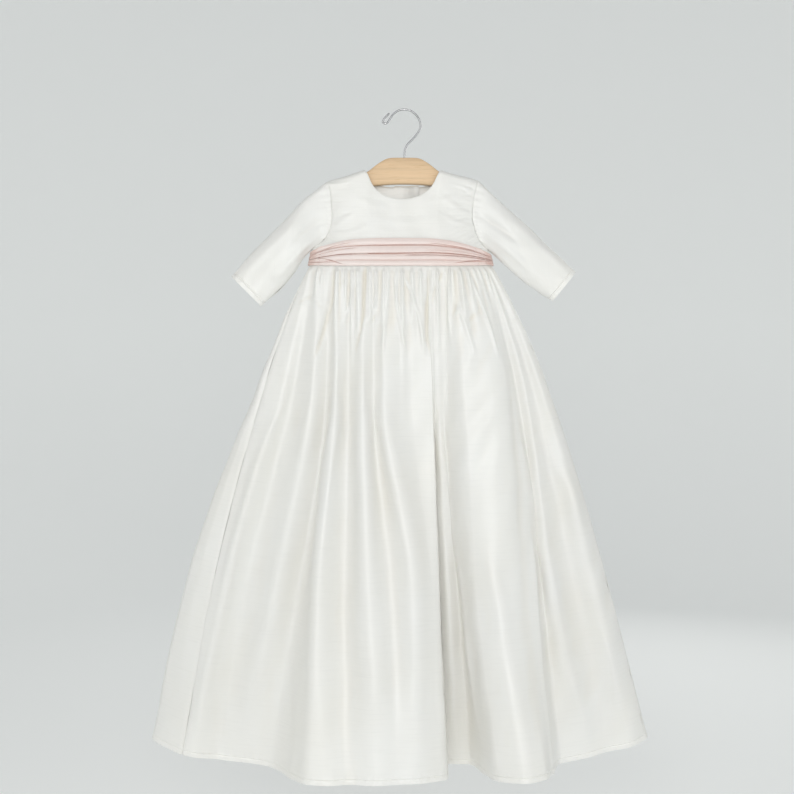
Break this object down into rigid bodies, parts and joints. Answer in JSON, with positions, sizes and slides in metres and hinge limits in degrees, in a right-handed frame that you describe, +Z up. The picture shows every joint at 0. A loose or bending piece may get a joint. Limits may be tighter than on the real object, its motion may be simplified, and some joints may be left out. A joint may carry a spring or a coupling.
{
  "type": "long christening gown on a wooden child's hanger",
  "caption": "Long-skirted baby gown with three-quarter sleeves and a pleated sash, gathered at a high waist, hanging on a short wooden hanger with a wire hook.",
  "frame": {"origin": "inside of the hook's crown, where the hanger rests on its peg", "axes": "+Z up, the front of the gown faces -Y, +X to the viewer's right when looking at the front"},
  "size_m": [0.696, 0.169, 0.9205],
  "materials": {
    "ivory_silk": "plain-weave dupion silk with fine level slubs and a soft satin sheen",
    "pink_silk": "pale pink dupion silk laid in level pleats",
    "beech": "smooth sanded pale wood with a level grain",
    "steel_wire": "bright bent wire"
  },
  "bodies": {
    "root": {"bodice_front": "ivory_silk", "bodice_back_left": "ivory_silk", "bodice_back_right": "ivory_silk", "sleeve_left": "ivory_silk", "sleeve_right": "ivory_silk", "skirt_front": "ivory_silk", "skirt_back_left": "ivory_silk", "skirt_back_right": "ivory_silk", "sash_front": "pink_silk", "sash_back_left": "pink_silk", "sash_back_right": "pink_silk", "button_1": "ivory_silk", "button_2": "ivory_silk", "button_3": "ivory_silk", "button_4": "pink_silk", "hanger_wood": "beech", "hanger_hook": "steel_wire"}
  },
  "joints": []
}
